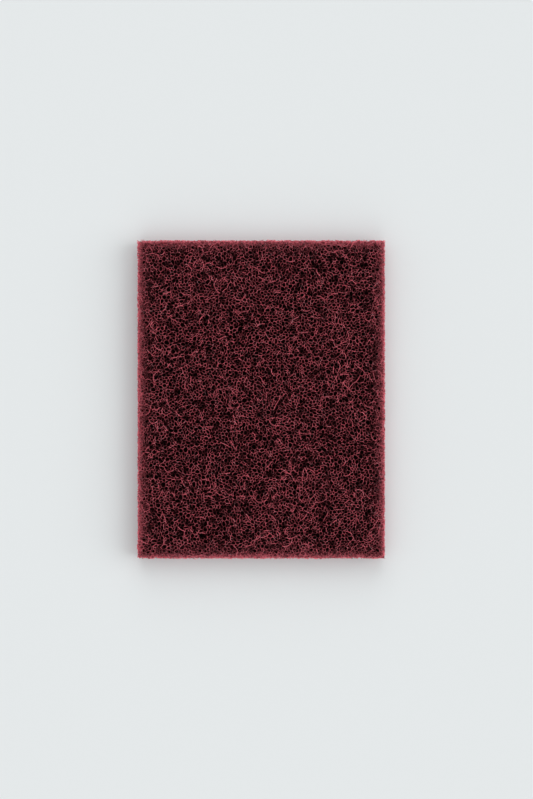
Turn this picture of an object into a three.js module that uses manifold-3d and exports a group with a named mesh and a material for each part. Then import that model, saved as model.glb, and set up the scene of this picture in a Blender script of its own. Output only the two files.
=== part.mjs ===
// A coarse scouring pad: one die-cut block of nonwoven web, in which crimped fibres lie every way and are
// bonded by resin where they cross. All six sides show the same web, with dark hollows between its fibres.
// The block is one solid: a matted body, hollows sunk into all its sides with a net of web between them, and
// longer curls that lie over the net. They stand for the real ones, which are finer and far more.
//
// Millimetres. X runs across the pad, Y along it and Z through it. The pad lies flat, and the origin is the
// middle of its underside.

import * as THREE from 'three';
import { mergeVertices } from 'three/addons/utils/BufferGeometryUtils.js';
import Module from 'manifold-3d';

// The pad as the die cuts it.
const PAD_WIDTH = 102;
const PAD_LENGTH = 131;
const PAD_THICKNESS = 10;
const CORNER_RADIUS = 1.5;
const CORNER_FACETS = 3;

// The curls are strands that lie on the body and stand proud of it. Press and die flatten every other one at
// the pad's outline, so it has narrow flats to rest on.
const STRAND_WIDTH = 1.5;
const STRAND_HEIGHT = 1.8;
const STRAND_PROUD = 0.7;
const STRAND_PROUD_LEAST = 0.45;
const STRAND_FLATTENED = 0.2;

// A curl bends one way and then the other, and turns back part way along its length.
const CURL_LENGTH = 21;
const CURL_TURNS_EARLIEST = 0.35;
const CURL_TURNS_LATEST = 0.75;
const CURL_STEP = 3;
const CURL_BEND_TIGHT = 3.2;
const CURL_BEND_WIDE = 8;
const CURL_EDGE_MARGIN = 0.9;

// A hollow is a pit narrower at its floor. Hollows fill each side but for the web between them, and those at
// its edges run out past them.
const WEB_BETWEEN_HOLLOWS = 1.8;
const HOLLOW_FLOOR_SHARE = 0.48;
const HOLLOW_DEPTH_LEAST = 2.2;
const HOLLOW_DEPTH_MOST = 3.6;
const EDGE_HOLLOW_DEPTH_LEAST = 0.9;
const EDGE_HOLLOW_DEPTH_MOST = 1.6;
const HOLLOW_PAST_EDGE = 1;

// How many of each, laid out in a grid of cells with one to a cell and alternate rows set over.
const FACE_GRIDS = { hollows: [8, 11], curls: [3, 4] };
const LONG_EDGE_GRIDS = { hollows: [14, 1], curls: [3, 1] };
const SHORT_EDGE_GRIDS = { hollows: [11, 1], curls: [2, 1] };
const HOLLOW_JITTER = 0.5;
const CURL_JITTER = 0.7;
const ROW_SET_OVER = 0.22;

const FIBRE_COLOUR = 0x8c2f3a;

const SEED = 11;

const wasm = await Module();
wasm.setup();

/** A stream of numbers from 0 to 1 that is the same on every run. */
function seededRandom(seed) {
  let state = seed;
  return () => {
    state = (state + 0x6d2b79f5) | 0;
    let mixed = Math.imul(state ^ (state >>> 15), 1 | state);
    mixed = (mixed + Math.imul(mixed ^ (mixed >>> 7), 61 | mixed)) ^ mixed;
    return ((mixed ^ (mixed >>> 14)) >>> 0) / 2 ** 32;
  };
}

function between(random, least, most) {
  return least + (most - least) * random();
}

/** A closed three.js geometry as a solid that can be joined and cut. */
function solidFrom(geometry) {
  const bare = geometry.clone();
  bare.deleteAttribute('normal');
  bare.deleteAttribute('uv');
  const merged = mergeVertices(bare);
  return new wasm.Manifold(
    new wasm.Mesh({
      numProp: 3,
      vertProperties: new Float32Array(merged.attributes.position.array),
      triVerts: new Uint32Array(merged.index.array),
    }),
  );
}

/** A solid as a three.js geometry with flat faces. */
function geometryFrom(solid) {
  const { vertProperties, triVerts } = solid.getMesh();
  const indexed = new THREE.BufferGeometry();
  indexed.setAttribute('position', new THREE.BufferAttribute(vertProperties, 3));
  indexed.setIndex(new THREE.BufferAttribute(triVerts, 1));
  const faceted = indexed.toNonIndexed();
  faceted.computeVertexNormals();
  return faceted;
}

function joined(solids) {
  return solids.reduce((whole, solid) => whole.add(solid));
}

/** A slab with rounded upright corners, inset by the same amount from every side of the cut pad. */
function slab(inset) {
  const cornerX = PAD_WIDTH / 2 - inset - CORNER_RADIUS;
  const cornerY = PAD_LENGTH / 2 - inset - CORNER_RADIUS;
  const outline = new THREE.Shape();
  [[1, 1], [-1, 1], [-1, -1], [1, -1]].forEach(([x, y], quarter) => {
    const from = (quarter * Math.PI) / 2;
    outline.absarc(x * cornerX, y * cornerY, CORNER_RADIUS, from, from + Math.PI / 2);
  });
  const options = { depth: PAD_THICKNESS - 2 * inset, bevelEnabled: false, curveSegments: CORNER_FACETS };
  return solidFrom(new THREE.ExtrudeGeometry(outline, options).translate(0, 0, inset));
}

/** One side of the matted body: its size, the matrix from its own plane to the pad's frame, and its web. */
function side(width, height, across, up, centre, grids, depths) {
  const outward = new THREE.Vector3().crossVectors(across, up);
  const matrix = new THREE.Matrix4().makeBasis(across, up, outward).setPosition(centre);
  return { width, height, matrix, grids, depths };
}

function bodySides() {
  const x = PAD_WIDTH / 2 - STRAND_PROUD;
  const y = PAD_LENGTH / 2 - STRAND_PROUD;
  const middle = PAD_THICKNESS / 2;
  const low = STRAND_PROUD;
  const high = PAD_THICKNESS - STRAND_PROUD;
  const [width, length, thickness] = [2 * x, 2 * y, high - low];
  const axis = (a, b, c) => new THREE.Vector3(a, b, c);
  const [right, left] = [axis(1, 0, 0), axis(-1, 0, 0)];
  const [back, front] = [axis(0, 1, 0), axis(0, -1, 0)];
  const up = axis(0, 0, 1);
  const face = (across, centre) => {
    const depths = [HOLLOW_DEPTH_LEAST, HOLLOW_DEPTH_MOST];
    return side(width, length, across, back, centre, FACE_GRIDS, depths);
  };
  const edge = (span, across, centre, grids) => {
    const depths = [EDGE_HOLLOW_DEPTH_LEAST, EDGE_HOLLOW_DEPTH_MOST];
    return side(span, thickness, across, up, centre, grids, depths);
  };
  return [
    face(right, axis(0, 0, high)),
    face(left, axis(0, 0, low)),
    edge(length, back, axis(x, 0, middle), LONG_EDGE_GRIDS),
    edge(length, front, axis(-x, 0, middle), LONG_EDGE_GRIDS),
    edge(width, left, axis(0, y, middle), SHORT_EDGE_GRIDS),
    edge(width, right, axis(0, -y, middle), SHORT_EDGE_GRIDS),
  ];
}

/** The places of a grid's items on a side, each moved at random within its cell. */
function scattered([columns, rows], { width, height }, jitter, random) {
  const places = [];
  for (let row = 0; row < rows; row += 1) {
    const setOver = row % 2 ? ROW_SET_OVER : -ROW_SET_OVER;
    for (let column = 0; column < columns; column += 1) {
      const shiftX = jitter * (random() - 0.5) + setOver;
      const shiftY = jitter * (random() - 0.5);
      const x = ((column + 0.5 + shiftX) / columns - 0.5) * width;
      const y = ((row + 0.5 + shiftY) / rows - 0.5) * height;
      places.push(new THREE.Vector2(x, y));
    }
  }
  return places;
}

/** The middle line of a curl in its own plane: an arc one way, then an arc back the other way. */
function curlLine(random) {
  const steps = Math.round(CURL_LENGTH / CURL_STEP);
  const turnsBackAt = Math.round(steps * between(random, CURL_TURNS_EARLIEST, CURL_TURNS_LATEST));
  const bends = [0, 1].map(() => between(random, CURL_BEND_TIGHT, CURL_BEND_WIDE));
  const firstWay = random() < 0.5 ? -1 : 1;
  const points = [new THREE.Vector2()];
  let heading = between(random, 0, 2 * Math.PI);
  for (let step = 0; step < steps; step += 1) {
    const arc = step < turnsBackAt ? 0 : 1;
    heading += ((arc ? -firstWay : firstWay) * CURL_STEP) / bends[arc];
    const move = new THREE.Vector2(Math.cos(heading), Math.sin(heading)).multiplyScalar(CURL_STEP);
    points.push(points.at(-1).clone().add(move));
  }
  return points;
}

/** A curl's line with its middle at a place, pressed to fit the side's height and slid in from its edges. */
function fitted(line, place, { width, height }) {
  const box = new THREE.Box2().setFromPoints(line);
  const size = box.getSize(new THREE.Vector2());
  const middle = box.getCenter(new THREE.Vector2());
  const room = new THREE.Vector2(width, height).subScalar(2 * CURL_EDGE_MARGIN);
  const press = Math.min(1, room.y / size.y);
  const reachX = (room.x - size.x) / 2;
  const reachY = (room.y - size.y * press) / 2;
  const x = THREE.MathUtils.clamp(place.x, -reachX, reachX);
  const y = THREE.MathUtils.clamp(place.y, -reachY, reachY);
  return line.map((p) => new THREE.Vector2(p.x - middle.x + x, (p.y - middle.y) * press + y));
}

/** A strand of four-sided section along a line in a side's plane, standing proud of it. */
function strand(line, proud, matrix) {
  const path = new THREE.CatmullRomCurve3(line.map((p) => new THREE.Vector3(p.x, p.y, 0)));
  const section = new THREE.Shape([
    new THREE.Vector2(STRAND_WIDTH / 2, 0),
    new THREE.Vector2(0, STRAND_WIDTH / 2),
    new THREE.Vector2(-STRAND_WIDTH / 2, 0),
    new THREE.Vector2(0, -STRAND_WIDTH / 2),
  ]);
  const options = { steps: line.length - 1, extrudePath: path, bevelEnabled: false };
  const geometry = new THREE.ExtrudeGeometry(section, options);
  geometry.scale(1, 1, STRAND_HEIGHT / STRAND_WIDTH).translate(0, 0, proud - STRAND_HEIGHT / 2);
  return solidFrom(geometry.applyMatrix4(matrix));
}

/** The curls that lie on one side. Every other one is flattened at the pad's outline. */
function curls(surface, random) {
  return scattered(surface.grids.curls, surface, CURL_JITTER, random).map((place, index) => {
    const line = fitted(curlLine(random), place, surface);
    const lower = between(random, STRAND_PROUD_LEAST, STRAND_PROUD);
    return strand(line, index % 2 ? lower : STRAND_PROUD + STRAND_FLATTENED, surface.matrix);
  });
}

/** What is left of an outline round a place, cut back to leave half the web short of halfway to another. */
function cutBack(outline, place, other) {
  const way = other.clone().sub(place);
  const reach = (way.length() - WEB_BETWEEN_HOLLOWS) / 2;
  way.normalize();
  const past = outline.map((point) => point.clone().sub(place).dot(way) - reach);
  return outline.flatMap((point, index) => {
    const next = (index + 1) % outline.length;
    const kept = past[index] <= 0 ? [point] : [];
    if (past[index] * past[next] < 0) {
      kept.push(point.clone().lerp(outline[next], past[index] / (past[index] - past[next])));
    }
    return kept;
  });
}

/** A pit with this outline at its mouth, sunk into a side and drawn in towards its floor. */
function pit(outline, place, depth, matrix) {
  const length = depth + STRAND_PROUD;
  const options = { depth: length, bevelEnabled: false };
  const geometry = new THREE.ExtrudeGeometry(new THREE.Shape(outline), options).translate(0, 0, -depth);
  const points = geometry.attributes.position;
  for (let i = 0; i < points.count; i += 1) {
    if (points.getZ(i) < 0) {
      const x = THREE.MathUtils.lerp(place.x, points.getX(i), HOLLOW_FLOOR_SHARE);
      const y = THREE.MathUtils.lerp(place.y, points.getY(i), HOLLOW_FLOOR_SHARE);
      points.setXY(i, x, y);
    }
  }
  return solidFrom(geometry.applyMatrix4(matrix));
}

/** The hollows of one side: each takes the part of it that lies nearer to its place than to any other. */
function hollows(surface, random) {
  const places = scattered(surface.grids.hollows, surface, HOLLOW_JITTER, random);
  const x = surface.width / 2 + HOLLOW_PAST_EDGE;
  const y = surface.height / 2 + HOLLOW_PAST_EDGE;
  const whole = [[x, y], [-x, y], [-x, -y], [x, -y]].map((corner) => new THREE.Vector2(...corner));
  return places.map((place) => {
    const others = places.filter((other) => other !== place);
    const outline = others.reduce((left, other) => cutBack(left, place, other), whole);
    return pit(outline, place, between(random, ...surface.depths), surface.matrix);
  });
}

function scouringPad() {
  const random = seededRandom(SEED);
  const sides = bodySides();
  const pits = joined(sides.flatMap((surface) => hollows(surface, random)));
  const strands = joined(sides.flatMap((surface) => curls(surface, random)));
  const web = slab(STRAND_PROUD).subtract(pits).add(strands).intersect(slab(0));
  const material = new THREE.MeshStandardMaterial({ color: FIBRE_COLOUR, roughness: 0.75, metalness: 0 });
  const mesh = new THREE.Mesh(geometryFrom(web), material);
  mesh.name = 'scouring_pad';
  return mesh;
}

const pad = new THREE.Group();
pad.add(scouringPad());

export default pad;
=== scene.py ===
"""A coarse scouring pad: a die-cut block of open web, made of crimped fibres bonded by resin with abrasive
grains in it.

The web is laid in layers, each of them one piece: a layer on each face, one behind each of those, and one in
the cut sides. The faces dip into hollows, and a few strands stand proud round them. The fibres are painted
darker the deeper they lie below a face or behind a side, as painted shade, which darkens the hollows too, and
paler near the cut sides, as painted light. A plain sheet painted in the colour of shade stands for the middle
of the pad, where the web is too dense to see through.
"""

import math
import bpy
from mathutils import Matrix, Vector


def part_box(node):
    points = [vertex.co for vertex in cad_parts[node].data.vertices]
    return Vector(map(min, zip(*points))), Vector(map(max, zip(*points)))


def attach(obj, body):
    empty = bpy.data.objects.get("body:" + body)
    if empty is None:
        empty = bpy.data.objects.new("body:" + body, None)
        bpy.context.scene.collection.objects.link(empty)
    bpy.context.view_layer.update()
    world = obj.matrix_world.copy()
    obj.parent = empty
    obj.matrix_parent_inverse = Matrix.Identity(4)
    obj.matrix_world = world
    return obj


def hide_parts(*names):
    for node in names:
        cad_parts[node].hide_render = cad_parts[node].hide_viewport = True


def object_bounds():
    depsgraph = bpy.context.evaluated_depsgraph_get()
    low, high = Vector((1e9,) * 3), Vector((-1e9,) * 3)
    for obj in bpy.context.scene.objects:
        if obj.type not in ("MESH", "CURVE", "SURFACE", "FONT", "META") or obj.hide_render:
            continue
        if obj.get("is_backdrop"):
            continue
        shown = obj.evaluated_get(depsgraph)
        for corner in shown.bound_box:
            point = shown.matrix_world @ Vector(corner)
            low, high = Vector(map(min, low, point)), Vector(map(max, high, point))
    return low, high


bl_info = {
    "name": "Coarse scouring pad",
    "version": (1, 0, 0),
    "blender": (4, 5, 0),
    "location": "3D View > Sidebar > Scouring pad",
    "description": "Lays the crimped fibre web of a coarse scouring pad, and a pale stage under it",
    "category": "Add Mesh",
}

from itertools import chain
from typing import NamedTuple

import bmesh
import bpy
import numpy as np
from bpy.props import (
    FloatProperty,
    FloatVectorProperty,
    IntProperty,
    PointerProperty,
)
from mathutils import Matrix, Vector
from mathutils.geometry import delaunay_2d_cdt
from mathutils.kdtree import KDTree

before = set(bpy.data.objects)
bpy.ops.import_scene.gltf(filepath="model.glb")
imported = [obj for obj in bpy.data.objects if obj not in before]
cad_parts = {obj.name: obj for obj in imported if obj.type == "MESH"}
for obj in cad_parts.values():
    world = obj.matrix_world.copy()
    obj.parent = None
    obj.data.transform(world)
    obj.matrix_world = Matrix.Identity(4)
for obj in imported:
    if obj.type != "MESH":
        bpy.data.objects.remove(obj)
CAD_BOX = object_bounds()

BLOCK = "scouring_pad"
BODY = "root"
BLOCK_LOW, BLOCK_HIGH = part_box(BLOCK)

# A band wider than any pad, in metres.
WHOLE_PAD = 1.0


class Layer(NamedTuple):
    """One layer of web, from one share of the pad's thickness to another.

    Its fibres are so many times thicker, and their steps so many times longer, than those of a face. It has
    one net for each entry of cells, with cells that many times wider. It reaches no further behind the cut
    sides than its band. Only a face has hollows, and proud strands round them.
    """

    name: str
    low_share: float
    high_share: float
    thicker: float = 1.0
    longer: float = 1.0
    cells: tuple = (1.0,)
    band: float = WHOLE_PAD
    is_face: bool = False


FACE_LAYERS = (
    Layer("top_web", 0.965, 0.99, is_face=True),
    Layer("underside_web", 0.01, 0.035, is_face=True),
)
INNER_LAYERS = (
    Layer("upper_web", 0.7, 0.925, thicker=1.4, longer=1.2, cells=(1.35, 1.6)),
    Layer("lower_web", 0.075, 0.3, thicker=1.4, longer=1.2, cells=(1.35, 1.6)),
    Layer("side_web", 0.24, 0.76, thicker=1.2, cells=(), band=0.0022),
)

# The seeds of the random draws.
FACE_WEB_SEED = 31
INNER_WEB_SEED = 61
TOP_HOLLOWS_SEED = 5
UNDERSIDE_HOLLOWS_SEED = 6

# How the fibres are laid. Their middles lie up to a margin past the die's line. There are more of them than
# the layer holds, because the die cuts some of each away, and most of all where only the cut sides are filled.
MARGIN = 0.012
SPARE_FIBRES = 2
SPARE_FIBRES_AT_SIDES = 26
CURLS_THAT_TURN_BACK = 0.72
RISE_LENGTH_SPREAD = (0.7, 1.4)
RISE_SPREAD = (0.4, 1.5)

# The root of x to the fifth = x + 1. Its powers spread points evenly in four dimensions.
EVEN_SPREAD = 1.1673039782614187

# How the nets are laid. Staggered rows lie closer than their points, and some lie past the pad's edges.
ROW_SHARE = math.sqrt(3) / 2
ROWS_PAST_PAD = 4
ROWS_BEFORE_PAD = 1.5
TRIANGLES_OF_HULL = 0
SAME_PLACE = 1e-7
RIM_SMOOTHINGS = 2
LEAST_RIM_TONE = 0.2

# Powers of random shares and of falls. One above 1 makes most shares small, or a fall steep at its end.
MOSTLY_SHALLOW = 1.5
MOSTLY_NEAR_DIE = 1.4
MOSTLY_DEEP = 0.7
HOLLOW_FALL = 3
SHADE_FALL = 1.3

# How a fibre's thickness varies, as shares of it: from fibre to fibre, and where resin has gathered on it.
# The last is how far inside the die's line its middle ends.
BODY_SPREAD = (0.82, 1.12)
RESIN_MOST = 0.3
RESIN_RARITY = 3
CUT_CLEARANCE = 0.7

# These keep a fibre that runs straight up, or has two points in one place, from having no direction across.
LEAN = 1e-6
LEAST_LENGTH = 1e-9

# A fibre is a tube of so many sides. Each is one strip of the bake map, with the caps at the strip's ends.
FIBRE_SIDES = 3
BAKE_MAP = "OFBake"
STRIP_START = 0.004
STRIP_GAP = 0.08
CAP_SHARE = 0.4

# What the mesh tells the material about each point.
TONE = "fibre_tone"
# Painted shade: this attribute falls from 1 at the faces and the cut sides to 0 deep in the web.
PAINTED_LIGHT_AND_SHADE = "painted_light_and_shade"
# Painted light: this attribute is 1 at a cut side and falls away behind it, where the fibres are painted
# paler.
EDGE_LIGHT_NEARNESS = "edge_light_nearness"

# The finish of the fibre. Scales are in cycles a metre, and limits are the noise at each end of a range.
FIBRE_MATERIAL = "maroon_resin_fibre"
PATCH_SCALE = 70.0
STRETCH_SCALE = 2000.0
GRIT_SCALE = 2900.0
NOISE_DETAIL = 2.0
STRETCH_DETAIL = 1.0
TONE_SHARE = 0.22
MAROON_LIMITS = (0.48, 0.6)
# The pale specks are partly grains in the resin and partly painted glints that stand for highlights on the
# fibres.
GRIT_AND_GLINT_LIMITS = (0.56, 0.68)
GRIT_AND_GLINT_MOST = 0.7
# The most that the painted light near the cut sides pales the fibres.
EDGE_LIGHT_MOST = 0.25
PATCH_LIMITS = (0.3, 0.7)
ROUGHNESS_SPREAD = (0.38, 0.62)
GRIT_BUMP = 0.55
GRIT_HEIGHT = 0.00006
FIBRE_GLOSS = 0.02

# The floor is wider than any view of the pad, and the camera sees to its end.
FLOOR_HALF_WIDTH = 2.5
FLOOR_ROUGHNESS = 0.9
FLOOR_GLOSS = 0.1
FURTHEST_SEEN = 20

# In pixels of the photograph: its height, the pad's length, and how far left of the middle the pad lies.
PHOTO_HEIGHT = 799
PAD_LENGTH_IN_PHOTO = 320
PAD_LEFT_OF_MIDDLE = 5.3


class FibreSizes(bpy.types.PropertyGroup):
    """The fibre, its crimp, and how the web is laid and cut."""

    diameter: FloatProperty(
        name="Fibre diameter",
        description="Thickness of a resin-coated fibre of the two faces",
        default=0.00024,
        unit="LENGTH",
    )
    length: FloatProperty(
        name="Fibre length",
        description="Length of one fibre before the die cuts the pad",
        default=0.046,
        unit="LENGTH",
    )
    step: FloatProperty(
        name="Step",
        description="Distance between the points along a fibre of the two faces",
        default=0.0007,
        unit="LENGTH",
    )
    cell: FloatProperty(
        name="Cell",
        description="Distance between the middles of the cells of the net that the faces show",
        default=0.00131,
        unit="LENGTH",
    )
    unevenness: FloatProperty(
        name="Unevenness",
        description="How far the cells are out of their rows, as a share of their distance",
        default=0.55,
    )
    kink: FloatProperty(
        name="Kink",
        description="Greatest angle by which the crimp turns a step of the fibre aside",
        default=math.radians(42),
        subtype="ANGLE",
    )
    tight_bend: FloatProperty(
        name="Tight bend",
        description="Radius of the tightest curls",
        default=0.0016,
        unit="LENGTH",
    )
    wide_bend: FloatProperty(
        name="Wide bend",
        description="Radius of the widest curls",
        default=0.009,
        unit="LENGTH",
    )
    curl_least: FloatProperty(
        name="Shortest curl",
        description="Least length of fibre that bends one way before it turns back",
        default=0.0028,
        unit="LENGTH",
    )
    curl_most: FloatProperty(
        name="Longest curl",
        description="Greatest length of fibre that bends one way before it turns back",
        default=0.0085,
        unit="LENGTH",
    )
    rise: FloatProperty(
        name="Rise",
        description="How far a fibre climbs and dips as it passes over and under its neighbours",
        default=0.0003,
        unit="LENGTH",
    )
    rise_length: FloatProperty(
        name="Rise length",
        description="Length of fibre from one climb to the next",
        default=0.006,
        unit="LENGTH",
    )
    fray: FloatProperty(
        name="Fray",
        description="How far the cut ends may stop short of the die's line",
        default=0.0008,
        unit="LENGTH",
    )
    corner: FloatProperty(
        name="Corner radius",
        description="Radius of the pad's corners",
        default=0.0009,
        unit="LENGTH",
    )
    hollow_spacing: FloatProperty(
        name="Hollow spacing",
        description="Distance between the larger hollows",
        default=0.003,
        unit="LENGTH",
    )
    hollow_unevenness: FloatProperty(
        name="Hollow unevenness",
        description="How far the hollows are out of their rows, as a share of their distance",
        default=0.45,
    )
    hollow_least: FloatProperty(
        name="Smallest hollow",
        description="Radius of the smallest of the larger hollows",
        default=0.0008,
        unit="LENGTH",
    )
    hollow_most: FloatProperty(
        name="Largest hollow",
        description="Radius of the largest hollows",
        default=0.0016,
        unit="LENGTH",
    )
    hollow_depth: FloatProperty(
        name="Hollow depth",
        description="How far the web dips into the deepest hollows",
        default=0.00068,
        unit="LENGTH",
    )
    rim_depth: FloatProperty(
        name="Rim depth",
        description="Greatest depth below a face of the strands round the hollows",
        default=0.00015,
        unit="LENGTH",
    )
    rim_share: FloatProperty(
        name="Rim share",
        description="Share of the strands round the hollows that stand proud",
        default=0.2,
        min=0,
        max=1,
    )
    rim_least: FloatProperty(
        name="Shortest rim",
        description="Length of the shortest proud strand round a hollow",
        default=0.003,
        unit="LENGTH",
    )
    rim_most: FloatProperty(
        name="Longest rim",
        description="Length of the longest proud strand round a hollow",
        default=0.009,
        unit="LENGTH",
    )
    rim_step: FloatProperty(
        name="Rim step",
        description="Distance between the points along a strand round a hollow",
        default=0.0009,
        unit="LENGTH",
    )
    rim_thicker: FloatProperty(
        name="Rim thickness",
        description="Thickness of the strands round the hollows, beside the other fibres",
        default=0.95,
    )
    wave: FloatProperty(
        name="Wave",
        description="How far the strands round the hollows wave to either side",
        default=0.0004,
        unit="LENGTH",
    )
    # The two depths below set how far the painted shade reaches: the web is painted darker the deeper it lies
    # below a face or behind a side.
    face_light: FloatProperty(
        name="Light below a face",
        description="Depth below a face at which the web has grown dark",
        default=0.00038,
        unit="LENGTH",
    )
    side_light: FloatProperty(
        name="Light behind a side",
        description="Depth behind a side at which the web has grown dark",
        default=0.0023,
        unit="LENGTH",
    )
    # Painted light: the depth behind a side over which the fibres are painted paler.
    edge_light_depth: FloatProperty(
        name="Depth of the cut",
        description="Depth behind a side at which the fibres are no longer scuffed pale by the die",
        default=0.0012,
        unit="LENGTH",
    )
    # The two sizes below place the plain sheet painted in the colour of shade, which stands for the dark
    # middle.
    core_depth: FloatProperty(
        name="Core thickness",
        description="Thickness of the dark middle that can't be seen through",
        default=0.0024,
        unit="LENGTH",
    )
    core_inset: FloatProperty(
        name="Core inset",
        description="Distance of the dark middle from the cut sides",
        default=0.0018,
        unit="LENGTH",
    )
    triangles: IntProperty(
        name="Triangles",
        description="Most triangles that one layer of web may have",
        default=196000,
        min=1000,
    )


class FibreColours(bpy.types.PropertyGroup):
    """The colours and finish of the resin-coated fibre."""

    # Painted shade: the colour of the web deep inside, and of the sheet in the middle.
    core: FloatVectorProperty(
        name="Core",
        description="Colour of the web's shaded inside",
        default=(0.003, 0.0002, 0.0003),
        subtype="COLOR",
        size=3,
        min=0,
        max=1,
    )
    deep: FloatVectorProperty(
        name="Deep maroon",
        description="Colour of the darkest fibres",
        default=(0.045, 0.0035, 0.006),
        subtype="COLOR",
        size=3,
        min=0,
        max=1,
    )
    bright: FloatVectorProperty(
        name="Bright maroon",
        description="Colour of the brightest fibres",
        default=(1.0, 0.18, 0.235),
        subtype="COLOR",
        size=3,
        min=0,
        max=1,
    )
    # Partly the colour of grains in the resin and partly painted glints: pale specks that stand for highlights
    # on the fibres.
    grit_and_glint: FloatVectorProperty(
        name="Grit",
        description="Colour of the fine grit in the resin",
        default=(0.95, 0.55, 0.6),
        subtype="COLOR",
        size=3,
        min=0,
        max=1,
    )
    # Painted light: the paler colour that the fibres near the cut sides are painted, for the light that the
    # sides catch.
    painted_edge_light: FloatVectorProperty(
        name="Scuffed",
        description="Colour of the fibre ends where the die cut them",
        default=(0.95, 0.27, 0.33),
        subtype="COLOR",
        size=3,
        min=0,
        max=1,
    )


class StageSettings(bpy.types.PropertyGroup):
    """The pale floor, the light and the camera."""

    floor: FloatVectorProperty(
        name="Floor",
        description="Colour of the floor and backdrop",
        default=(0.78, 0.812, 0.82),
        subtype="COLOR",
        size=3,
        min=0,
        max=1,
    )
    fill: FloatProperty(
        name="Fill light",
        description="Strength of the even light from all round",
        default=0.56,
        min=0,
    )
    right: FloatProperty(
        name="Right-hand light",
        description="Strength of the broad light from the right",
        default=1.2,
        min=0,
    )
    far: FloatProperty(
        name="Far light",
        description="Strength of the broad light from beyond the far end",
        default=0.78,
        min=0,
    )
    near: FloatProperty(
        name="Near light",
        description="Strength of the broad light from before the near end",
        default=0.34,
        min=0,
    )
    left: FloatProperty(
        name="Left-hand light",
        description="Strength of the broad light from the left",
        default=0.09,
        min=0,
    )
    spread: FloatProperty(
        name="Spread",
        description="Angle across each broad light, which softens its shadows",
        default=math.radians(50),
        subtype="ANGLE",
    )
    height: FloatProperty(
        name="Height",
        description="Angle of the broad lights above the floor",
        default=math.radians(35),
        subtype="ANGLE",
    )
    lens: FloatProperty(
        name="Lens",
        description="Focal length of the camera, in millimetres",
        default=85,
        min=20,
    )


def random_between(rng, low, high, shape=None):
    return low + (high - low) * rng.random(shape)


def evenly_spread(count, rng):
    """Numbers between 0 and 1 in rows of four, of which any first part is evenly spread."""
    steps = EVEN_SPREAD ** -np.arange(1.0, 5.0)
    return (rng.random(4) + np.arange(count)[:, None] * steps) % 1


def crimped_fibres(sizes, layer, count, rng):
    """Middle lines of crimped fibres in one layer, as an array of fibre, point and x, y, z."""
    step = sizes.step * layer.longer
    points = int(sizes.length / step)
    along = np.arange(points) * step

    # A fibre is a row of curls. A curl keeps its bend, and the next one mostly bends the other way.
    curls = int(sizes.length / sizes.curl_least) + 1
    lengths = random_between(rng, sizes.curl_least, sizes.curl_most, (count, curls))
    ends = np.cumsum(lengths, axis=1)
    curl_of_point = (ends[:, None, :] < along[None, :, None]).sum(axis=2)
    flips = np.where(rng.random((count, curls)) < CURLS_THAT_TURN_BACK, -1.0, 1.0)
    radii = sizes.tight_bend + (sizes.wide_bend - sizes.tight_bend) * rng.random((count, curls))
    bends = np.cumprod(flips, axis=1) / radii
    bend = np.take_along_axis(bends, curl_of_point, axis=1)
    bend[:, 1:-1] = (bend[:, :-2] + 2 * bend[:, 1:-1] + bend[:, 2:]) / 4

    x, y, z, turn = evenly_spread(count, rng).T[:, :, None]
    crimp = random_between(rng, -sizes.kink, sizes.kink, (count, points))
    heading = turn * 2 * math.pi + np.cumsum(bend * step, axis=1) + crimp
    phase = rng.random((count, 1)) * 2 * math.pi
    rise_length = sizes.rise_length * random_between(rng, *RISE_LENGTH_SPREAD, (count, 1))
    rise = sizes.rise * random_between(rng, *RISE_SPREAD, (count, 1))

    size = BLOCK_HIGH - BLOCK_LOW
    radius = sizes.diameter * layer.thicker / 2
    line = np.empty((count, points, 3))
    for axis, place, slope in ((0, x, np.cos(heading)), (1, y, np.sin(heading))):
        run = np.cumsum(slope * step, axis=1)
        middle = BLOCK_LOW[axis] - MARGIN + place * (size[axis] + 2 * MARGIN)
        line[:, :, axis] = middle + run - run.mean(axis=1, keepdims=True)
    level = BLOCK_LOW.z + (layer.low_share + z * (layer.high_share - layer.low_share)) * size.z
    wave = level + rise * np.sin(phase + 2 * math.pi * along[None, :] / rise_length)
    line[:, :, 2] = np.clip(wave, BLOCK_LOW.z + radius, BLOCK_HIGH.z - radius)
    return line


def scattered_rows(cell, unevenness, rng):
    """Points over the whole pad and a little past it, in staggered rows, each moved a random way."""
    size = BLOCK_HIGH - BLOCK_LOW
    columns = int(size.x / cell) + ROWS_PAST_PAD
    rows = int(size.y / (cell * ROW_SHARE)) + ROWS_PAST_PAD
    column, row = (index.ravel() for index in np.meshgrid(np.arange(columns), np.arange(rows)))
    x = BLOCK_LOW.x + (column - ROWS_BEFORE_PAD + 0.5 * (row % 2)) * cell
    y = BLOCK_LOW.y + (row - ROWS_BEFORE_PAD) * cell * ROW_SHARE
    return np.column_stack((x, y)) + random_between(rng, -unevenness, unevenness, (len(x), 2)) * cell


def cell_net(middles, depths, layer, radius, rng):
    """Middle lines of a net round these cells, with its knots at random depths below the nearest face."""
    places = [Vector(middle) for middle in middles]
    corners, _, triangles, *_ = delaunay_2d_cdt(places, [], [], TRIANGLES_OF_HULL, SAME_PLACE)
    triangles = np.array(triangles)
    inwards = radius + depths[0] + (depths[1] - depths[0]) * rng.random(len(triangles)) ** MOSTLY_SHALLOW
    height = BLOCK_HIGH.z - inwards if near_top(layer) else BLOCK_LOW.z + inwards
    knots = np.column_stack((np.array(corners)[triangles].mean(axis=1), height))
    return strands(knots, triangles)


def near_top(layer):
    """Whether the layer is nearer to the top face than to the underside."""
    return layer.low_share + layer.high_share > 1


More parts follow.
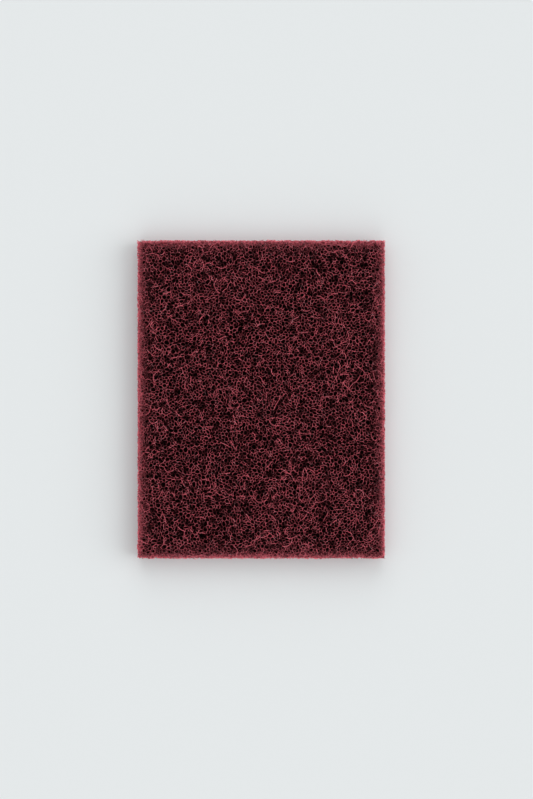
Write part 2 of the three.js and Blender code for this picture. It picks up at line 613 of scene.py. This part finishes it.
def bonded_net(sizes, layer, wider, rng):
    """Middle lines of one net of a layer, where fibres are bonded round cells of nearly one size."""
    thickness = BLOCK_HIGH.z - BLOCK_LOW.z
    depths = (layer.low_share * thickness, layer.high_share * thickness)
    if near_top(layer):
        depths = (thickness - depths[1], thickness - depths[0])
    middles = scattered_rows(sizes.cell * wider, sizes.unevenness, rng)
    return cell_net(middles, depths, layer, sizes.diameter * layer.thicker / 2, rng)


def rim_strands(sizes, layer, places, rng):
    """Middle lines of the proud, wavy strands that run part of the way round the hollows."""
    radius = sizes.diameter * sizes.rim_thicker / 2
    for line in cell_net(places, (0, sizes.rim_depth), layer, radius, rng):
        along = np.concatenate(([0], np.cumsum(np.linalg.norm(np.diff(line, axis=0), axis=1))))
        places_along = np.arange(0, along[-1], sizes.rim_step)
        if len(places_along) < 3:
            continue
        wavy = np.column_stack([np.interp(places_along, along, line[:, axis]) for axis in range(3)])
        wavy[:, :2] += random_between(rng, -sizes.wave, sizes.wave, (len(wavy), 2))
        for _ in range(RIM_SMOOTHINGS):
            wavy[1:-1] = (wavy[:-2] + 2 * wavy[1:-1] + wavy[2:]) / 4
        start = 0
        while start < len(wavy) - 2:
            count = int(random_between(rng, sizes.rim_least, sizes.rim_most) / sizes.rim_step)
            if rng.random() < sizes.rim_share:
                yield wavy[start:start + count]
            start += count


class Hollows:
    """The web's larger hollows under one face. The web dips into them, each to its own depth."""

    def __init__(self, sizes, rng):
        self.places = scattered_rows(sizes.hollow_spacing, sizes.hollow_unevenness, rng)
        self.radii = random_between(rng, sizes.hollow_least, sizes.hollow_most, len(self.places))
        self.depths = sizes.hollow_depth * rng.random(len(self.places)) ** MOSTLY_SHALLOW
        self.tree = KDTree(len(self.places))
        for index, (x, y) in enumerate(self.places):
            self.tree.insert((x, y, 0), index)
        self.tree.balance()

    def dip(self, line):
        """How far each point of the line dips."""
        found = [self.tree.find((x, y, 0)) for x, y, _ in line.tolist()]
        index = np.array([nearest for _, nearest, _ in found])
        away = np.array([distance for _, _, distance in found])
        return self.depths[index] * np.maximum(1 - (away / self.radii[index]) ** HOLLOW_FALL, 0)


def strands(knots, triangles):
    """Follows a net from knot to knot. At a knot, the two ways nearest a straight line are one strand."""
    ways = {}
    for knot, triangle in enumerate(triangles.tolist()):
        for first, second in zip(triangle, triangle[1:] + triangle[:1]):
            ways.setdefault((min(first, second), max(first, second)), []).append(knot)
    links = [way for way in ways.values() if len(way) == 2]
    at_knot = {}
    for link, way in enumerate(links):
        for knot in way:
            at_knot.setdefault(knot, []).append(link)

    carries_on = {}
    for knot, near in at_knot.items():
        headings = {}
        for link in near:
            first, second = links[link]
            along = knots[second if first == knot else first] - knots[knot]
            headings[link] = along / np.linalg.norm(along)
        pairs = [(a, b) for index, a in enumerate(near) for b in near[index + 1:]]
        if pairs:
            a, b = min(pairs, key=lambda pair: headings[pair[0]] @ headings[pair[1]])
            carries_on[a, knot] = b
            carries_on[b, knot] = a

    left = set(range(len(links)))
    ends = [(link, knot) for link, way in enumerate(links) for knot in way if (link, knot) not in carries_on]
    for link, knot in ends + [(link, way[0]) for link, way in enumerate(links)]:
        if link not in left:
            continue
        path = [knot]
        while link in left:
            left.discard(link)
            first, second = links[link]
            knot = second if first == knot else first
            path.append(knot)
            link = carries_on.get((link, knot))
        yield knots[path]


def die_cut(lines, sizes, layer, rng):
    """The runs of each line inside the die's line and in the layer's band, cut off near the die's line."""
    half = np.array((BLOCK_HIGH - BLOCK_LOW).xy) / 2 - sizes.diameter * layer.thicker * CUT_CLEARANCE
    middle = np.array((BLOCK_HIGH + BLOCK_LOW).xy) / 2
    for line in lines:
        reach = np.abs(line[:, :2] - middle) - half
        past = np.hypot(*np.maximum(reach + sizes.corner, 0).T)
        band = layer.band * rng.random() ** MOSTLY_DEEP
        kept = (past < sizes.corner) & (reach.max(axis=1) > -band)
        edges = np.flatnonzero(np.diff(np.concatenate(([0], kept.astype(int), [0]))))
        for start, end in edges.reshape(-1, 2):
            run = line[max(start - 1, 0):end + 1].copy()
            ends = half - sizes.fray * rng.random() ** MOSTLY_NEAR_DIE
            run[:, :2] = middle + np.clip(run[:, :2] - middle, -ends, ends)
            if len(run) > 1:
                yield run


def painted_light_and_shade(points, sizes):
    """Painted light and shade at each point: the first is 1 at a face or a cut side and falls to 0 deep in the
    web, as painted shade; the second is 1 at a cut side and falls away behind it, as painted light that pales
    the fibres.
    """
    below_face = np.minimum(points[:, 2] - BLOCK_LOW.z, BLOCK_HIGH.z - points[:, 2])
    middle = (BLOCK_LOW + BLOCK_HIGH) / 2
    half = (BLOCK_HIGH - BLOCK_LOW) / 2
    behind_side = np.minimum(
        half.x - np.abs(points[:, 0] - middle.x),
        half.y - np.abs(points[:, 1] - middle.y),
    )
    from_face = np.exp(-((np.maximum(below_face, 0) / sizes.face_light) ** SHADE_FALL))
    from_side = np.exp(-((np.maximum(behind_side, 0) / sizes.side_light) ** SHADE_FALL))
    return np.maximum(from_face, from_side), np.exp(-np.maximum(behind_side, 0) / sizes.edge_light_depth)


def tube_triangles(run):
    """How many triangles the tube along a run has, with its two caps."""
    return 2 * FIBRE_SIDES * (len(run) - 1) + 2 * (FIBRE_SIDES - 2)


def tubes(name, runs, radii, tones, sizes, rng):
    """A mesh of one thin tube along each run, thicker where resin has gathered, with attributes and map."""
    counts = np.array([len(run) for run in runs])
    points = np.concatenate(runs)
    place = np.arange(len(points))
    first = np.cumsum(counts) - counts
    last = first + counts - 1
    heading = points[np.minimum(place + 1, last.repeat(counts))]
    heading = heading - points[np.maximum(place - 1, first.repeat(counts))]
    heading /= np.maximum(np.linalg.norm(heading, axis=1, keepdims=True), LEAST_LENGTH)
    across = np.cross(heading + (LEAN, 0, 0), (0, 0, 1))
    across /= np.linalg.norm(across, axis=1, keepdims=True)
    up = np.cross(across, heading)

    body = random_between(rng, *BODY_SPREAD, len(runs)).repeat(counts)
    thickness = radii.repeat(counts) * (body + RESIN_MOST * rng.random(len(points)) ** RESIN_RARITY)
    turn = np.arange(FIBRE_SIDES) * 2 * math.pi / FIBRE_SIDES
    turn = turn + (rng.random(len(runs)) * 2 * math.pi).repeat(counts)[:, None]
    spoke = np.cos(turn)[:, :, None] * across[:, None] + np.sin(turn)[:, :, None] * up[:, None]
    rings = points[:, None] + thickness[:, None, None] * spoke

    ring = np.setdiff1d(place, last)
    side = np.arange(FIBRE_SIDES)
    here = ring[:, None] * FIBRE_SIDES
    there = here + FIBRE_SIDES
    turned = (side + 1) % FIBRE_SIDES
    walls = np.stack((here + side, there + side, there + turned, here + turned), axis=2)
    start_caps = first[:, None] * FIBRE_SIDES + side
    end_caps = last[:, None] * FIBRE_SIDES + side[::-1]
    faces = walls.reshape(-1, 4).tolist() + start_caps.tolist() + end_caps.tolist()
    mesh = bpy.data.meshes.new(name)
    mesh.from_pydata(rings.reshape(-1, 3), [], faces)
    mesh.shade_smooth()

    tone = tones.repeat(counts)
    # Painted shade by depth, and painted light near the cut sides, go into the mesh as attributes.
    painted_depth_light, cut = painted_light_and_shade(points, sizes)
    for name_in_mesh, values in ((TONE, tone), (PAINTED_LIGHT_AND_SHADE, painted_depth_light), (EDGE_LIGHT_NEARNESS, cut)):
        attribute = mesh.attributes.new(name_in_mesh, "FLOAT", "POINT")
        attribute.data.foreach_set("value", values.repeat(FIBRE_SIDES))
    mesh.uv_layers.new(name=BAKE_MAP).data.foreach_set("uv", bake_strips(counts, ring).ravel())
    return mesh


def bake_strips(counts, ring):
    """The tubes' bake map. Each is a strip, with its sides one above the other and a cap at each end."""
    fibre = np.arange(len(counts)).repeat(counts)
    along = np.concatenate([np.linspace(STRIP_START, 1 - STRIP_START, count) for count in counts])
    side = np.arange(FIBRE_SIDES)
    left = np.broadcast_to(along[ring][:, None], (len(ring), FIBRE_SIDES))
    right = np.broadcast_to(along[ring + 1][:, None], (len(ring), FIBRE_SIDES))
    low = fibre[ring][:, None] + STRIP_GAP + (1 - 2 * STRIP_GAP) * side / FIBRE_SIDES
    high = low + (1 - 2 * STRIP_GAP) / FIBRE_SIDES
    walls_u = np.stack((left, right, right, left), axis=2)
    walls_v = np.stack((low, low, high, high), axis=2)
    turn = np.arange(FIBRE_SIDES) * 2 * math.pi / FIBRE_SIDES
    caps_u = np.tile(STRIP_START * (0.5 + CAP_SHARE * np.cos(turn)), len(counts))
    caps_v = (np.arange(len(counts))[:, None] + 0.5 + CAP_SHARE * np.sin(turn)).ravel()
    u = np.concatenate((walls_u.ravel(), caps_u, 1 - caps_u))
    v = np.concatenate((walls_v.ravel(), caps_v, caps_v)) / len(counts)
    return np.column_stack((u, v))


def spare_fibres(layer, sizes, rng):
    """Middle lines of crimped fibres, more than enough to fill the layer."""
    points_wanted = sizes.triangles // (2 * FIBRE_SIDES)
    points_a_fibre = int(sizes.length / (sizes.step * layer.longer))
    spare = SPARE_FIBRES_AT_SIDES if layer.band < WHOLE_PAD else SPARE_FIBRES
    return crimped_fibres(sizes, layer, int(spare * points_wanted / points_a_fibre), rng)


def lay_web(layer, sizes, material, seed):
    """Makes one layer: on a face the proud strands, then the nets, and crimped fibres until it is full."""
    rng = np.random.default_rng(seed)
    net = [strand for wider in layer.cells for strand in bonded_net(sizes, layer, wider, rng)]
    shuffled = [net[index] for index in rng.permutation(len(net))]
    fibres = spare_fibres(layer, sizes, rng)
    runs = []
    radii = []
    tones = []
    if layer.is_face:
        hollows_seed = TOP_HOLLOWS_SEED if near_top(layer) else UNDERSIDE_HOLLOWS_SEED
        hollows = Hollows(sizes, np.random.default_rng(hollows_seed))
        inwards = -1 if near_top(layer) else 1
        for run in die_cut(rim_strands(sizes, layer, hollows.places, rng), sizes, layer, rng):
            runs.append(run)
            radii.append(sizes.diameter * sizes.rim_thicker / 2)
            tones.append(random_between(rng, LEAST_RIM_TONE, 1.0))
    triangles = sum(tube_triangles(run) for run in runs)
    for run in die_cut(chain(shuffled, fibres), sizes, layer, rng):
        triangles += tube_triangles(run)
        if triangles > sizes.triangles:
            break
        if layer.is_face:
            run[:, 2] += inwards * hollows.dip(run)
        runs.append(run)
        radii.append(sizes.diameter * layer.thicker / 2)
        tones.append(rng.random())
    mesh = tubes(layer.name, runs, np.array(radii), np.array(tones), sizes, rng)
    return piece_of_web(layer.name, mesh, material)


def lay_shaded_core(sizes, material):
    """Makes the middle of the pad, where the web is too dense to see through, as one plain sheet painted in
    the colour of shade. Its mesh has none of the fibres' attributes, so the material gives it the colour of
    shade all over.
    """
    half_thickness = (BLOCK_HIGH.z - BLOCK_LOW.z) / 2
    inside = Vector((sizes.core_inset, sizes.core_inset, half_thickness - sizes.core_depth / 2))
    size = BLOCK_HIGH - BLOCK_LOW - 2 * inside
    sheet = bmesh.new()
    sheet.loops.layers.uv.new(BAKE_MAP)
    bmesh.ops.create_cube(sheet, size=1, calc_uvs=True)
    mesh = bpy.data.meshes.new("shaded_middle_sheet")
    sheet.to_mesh(mesh)
    sheet.free()
    mesh.transform(Matrix.Translation((BLOCK_LOW + BLOCK_HIGH) / 2) @ Matrix.Diagonal((*size, 1)))
    return piece_of_web("shaded_middle_sheet", mesh, material)


def piece_of_web(name, mesh, material):
    """Puts a mesh into the scene as a piece that stands for the plain block."""
    mesh.materials.append(material)
    piece = bpy.data.objects.new(name, mesh)
    bpy.context.collection.objects.link(piece)
    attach(piece, BODY)
    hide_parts(BLOCK)
    return piece


def add_node(tree, kind, inputs, **settings):
    """A new shader node. Each input is a value, or the output of another node that is linked to it."""
    node = tree.nodes.new(kind)
    for name, value in settings.items():
        setattr(node, name, value)
    for socket, value in inputs.items():
        if isinstance(value, bpy.types.NodeSocket):
            tree.links.new(value, node.inputs[socket])
        else:
            node.inputs[socket].default_value = value
    return node


def noise(tree, place, scale, detail):
    inputs = {"Vector": place, "Scale": scale, "Detail": detail}
    return add_node(tree, "ShaderNodeTexNoise", inputs).outputs["Fac"]


def from_mesh(tree, attribute):
    return add_node(tree, "ShaderNodeAttribute", {}, attribute_name=attribute).outputs["Fac"]


def ranged(tree, value, limits, results=(0.0, 1.0)):
    """The value, with these limits brought to these results."""
    low, high = limits
    to_low, to_high = results
    inputs = {"Value": value, "From Min": low, "From Max": high, "To Min": to_low, "To Max": to_high}
    return add_node(tree, "ShaderNodeMapRange", inputs).outputs["Result"]


def mixed(tree, share, colour, other):
    """One colour, with a share of the other."""
    inputs = {"Factor": share, "A": colour, "B": other}
    return add_node(tree, "ShaderNodeMix", inputs, data_type="RGBA").outputs["Result"]


def fibre_material(colours):
    """Maroon resin on fibre: each fibre has its own tone, with darker and paler stretches, and pale specks,
    partly abrasive grains in the resin and partly painted glints.

    Painted shade darkens the web's inside, and painted light pales the fibres near the cut sides.
    """
    material = bpy.data.materials.new(FIBRE_MATERIAL)
    material.use_nodes = True
    tree = material.node_tree
    shader = tree.nodes["Principled BSDF"]
    place = tree.nodes.new("ShaderNodeTexCoord").outputs["Object"]
    patches = noise(tree, place, PATCH_SCALE, NOISE_DETAIL)
    stretches = noise(tree, place, STRETCH_SCALE, STRETCH_DETAIL)
    grit_and_glint = noise(tree, place, GRIT_SCALE, NOISE_DETAIL)

    toned = {0: from_mesh(tree, TONE), 1: TONE_SHARE, 2: stretches}
    tone = add_node(tree, "ShaderNodeMath", toned, operation="MULTIPLY_ADD").outputs[0]
    maroon = mixed(tree, ranged(tree, tone, MAROON_LIMITS), (*colours.deep, 1), (*colours.bright, 1))
    # Painted glints: pale specks, partly grains in the resin, stand for highlights on the fibres.
    with_grit_and_glints = mixed(tree, ranged(tree, grit_and_glint, GRIT_AND_GLINT_LIMITS, (0.0, GRIT_AND_GLINT_MOST)), maroon, (*colours.grit_and_glint, 1))
    # Painted shade: deep in the web the colour falls to the colour of shade.
    shaded = mixed(tree, from_mesh(tree, PAINTED_LIGHT_AND_SHADE), (*colours.core, 1), with_grit_and_glints)
    # Painted light: the fibres near the cut sides are painted paler.
    edge_light_inputs = {0: from_mesh(tree, EDGE_LIGHT_NEARNESS), 1: EDGE_LIGHT_MOST}
    edge_light_share = add_node(tree, "ShaderNodeMath", edge_light_inputs, operation="MULTIPLY").outputs[0]
    tree.links.new(mixed(tree, edge_light_share, shaded, (*colours.painted_edge_light, 1)), shader.inputs["Base Color"])

    tree.links.new(ranged(tree, patches, PATCH_LIMITS, ROUGHNESS_SPREAD), shader.inputs["Roughness"])
    raised = {"Strength": GRIT_BUMP, "Distance": GRIT_HEIGHT, "Height": grit_and_glint}
    bump = add_node(tree, "ShaderNodeBump", raised)
    tree.links.new(bump.outputs["Normal"], shader.inputs["Normal"])
    shader.inputs["Specular IOR Level"].default_value = FIBRE_GLOSS
    return material


def pale_material(colour):
    """A plain pale surface for the floor."""
    material = bpy.data.materials.new("pale_floor")
    material.use_nodes = True
    shader = material.node_tree.nodes["Principled BSDF"]
    shader.inputs["Base Color"].default_value = (*colour, 1)
    shader.inputs["Roughness"].default_value = FLOOR_ROUGHNESS
    shader.inputs["Specular IOR Level"].default_value = FLOOR_GLOSS
    return material


def found_material(colours):
    return bpy.data.materials.get(FIBRE_MATERIAL) or fibre_material(colours)


class SCOURING_PAD_OT_lay_face_webs(bpy.types.Operator):
    """Lay the layers of web that make the two faces"""

    bl_idname = "scouring_pad.lay_face_webs"
    bl_label = "Lay face webs"

    def execute(self, context):
        material = found_material(context.scene.pad_colours)
        for seed, layer in enumerate(FACE_LAYERS, start=FACE_WEB_SEED):
            lay_web(layer, context.scene.pad_fibres, material, seed)
        return {"FINISHED"}


class SCOURING_PAD_OT_lay_inner_webs(bpy.types.Operator):
    """Lay the layers of web between the two faces"""

    bl_idname = "scouring_pad.lay_inner_webs"
    bl_label = "Lay inner webs"

    def execute(self, context):
        material = found_material(context.scene.pad_colours)
        for seed, layer in enumerate(INNER_LAYERS, start=INNER_WEB_SEED):
            lay_web(layer, context.scene.pad_fibres, material, seed)
        # The middle of the pad is a plain sheet painted in the colour of shade.
        lay_shaded_core(context.scene.pad_fibres, material)
        return {"FINISHED"}


class SCOURING_PAD_OT_set_stage(bpy.types.Operator):
    """Add the pale floor, the light and the camera"""

    bl_idname = "scouring_pad.set_stage"
    bl_label = "Set the stage"

    def execute(self, context):
        stage = context.scene.pad_stage
        add_floor(stage)
        add_light(stage)
        add_camera(stage)
        return {"FINISHED"}


def add_floor(stage):
    floor = bmesh.new()
    bmesh.ops.create_grid(floor, x_segments=1, y_segments=1, size=FLOOR_HALF_WIDTH)
    mesh = bpy.data.meshes.new("floor")
    floor.to_mesh(mesh)
    floor.free()
    mesh.transform(Matrix.Translation((0, 0, BLOCK_LOW.z)))
    mesh.materials.append(pale_material(stage.floor))
    piece = bpy.data.objects.new("floor", mesh)
    bpy.context.collection.objects.link(piece)
    piece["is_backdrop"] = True


def add_light(stage):
    """Broad soft lights on the four sides, the strongest on the right, and even light from all round."""
    strengths = (("right", stage.right), ("far", stage.far), ("left", stage.left), ("near", stage.near))
    for quarter, (name, strength) in enumerate(strengths):
        lamp = bpy.data.lights.new(name + "_light", "SUN")
        lamp.energy = strength
        lamp.angle = stage.spread
        holder = bpy.data.objects.new(name + "_light", lamp)
        holder.rotation_euler = (0, math.pi / 2 - stage.height, quarter * math.pi / 2)
        bpy.context.collection.objects.link(holder)

    world = bpy.data.worlds.new("even_light")
    world.use_nodes = True
    background = world.node_tree.nodes["Background"]
    background.inputs["Color"].default_value = (1, 1, 1, 1)
    background.inputs["Strength"].default_value = stage.fill
    bpy.context.scene.world = world


def add_camera(stage):
    """A camera that looks straight down on the pad, with the pad at the photograph's size and place."""
    metres_a_pixel = (BLOCK_HIGH.y - BLOCK_LOW.y) / PAD_LENGTH_IN_PHOTO
    camera = bpy.data.cameras.new("camera")
    camera.lens = stage.lens
    distance = PHOTO_HEIGHT * metres_a_pixel * camera.lens / camera.sensor_width
    camera.clip_end = FURTHEST_SEEN
    holder = bpy.data.objects.new("camera", camera)
    middle = (BLOCK_LOW + BLOCK_HIGH) / 2
    holder.location = (middle.x + PAD_LEFT_OF_MIDDLE * metres_a_pixel, middle.y, BLOCK_HIGH.z + distance)
    bpy.context.collection.objects.link(holder)
    bpy.context.scene.camera = holder


class SCOURING_PAD_PT_panel(bpy.types.Panel):
    """The steps that make the pad, and the sizes and colours that they use"""

    bl_idname = "SCOURING_PAD_PT_panel"
    bl_label = "Scouring pad"
    bl_space_type = "VIEW_3D"
    bl_region_type = "UI"
    bl_category = "Scouring pad"

    def draw(self, context):
        layout = self.layout
        for settings in (context.scene.pad_fibres, context.scene.pad_colours, context.scene.pad_stage):
            box = layout.box()
            for name in settings.bl_rna.properties.keys():
                if name not in ("rna_type", "name"):
                    box.prop(settings, name)
        for step in STEPS:
            layout.operator(step.bl_idname)


STEPS = (
    SCOURING_PAD_OT_lay_face_webs,
    SCOURING_PAD_OT_lay_inner_webs,
    SCOURING_PAD_OT_set_stage,
)
CLASSES = (FibreSizes, FibreColours, StageSettings, *STEPS, SCOURING_PAD_PT_panel)


def register():
    for kind in CLASSES:
        bpy.utils.register_class(kind)
    bpy.types.Scene.pad_fibres = PointerProperty(type=FibreSizes)
    bpy.types.Scene.pad_colours = PointerProperty(type=FibreColours)
    bpy.types.Scene.pad_stage = PointerProperty(type=StageSettings)


def unregister():
    del bpy.types.Scene.pad_stage
    del bpy.types.Scene.pad_colours
    del bpy.types.Scene.pad_fibres
    for kind in reversed(CLASSES):
        bpy.utils.unregister_class(kind)


def write_sizes():
    """Works out the plain block's box and the finished pad's box."""
    boxes = {"cad": CAD_BOX, "visual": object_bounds()}
    {name: [list(corner) for corner in box] for name, box in boxes.items()}


def main():
    register()
    bpy.context.scene.view_settings.view_transform = "Standard"
    bpy.ops.scouring_pad.lay_face_webs()
    bpy.ops.scouring_pad.lay_inner_webs()
    bpy.ops.scouring_pad.set_stage()
    write_sizes()


if __name__ == "__main__":
    main()
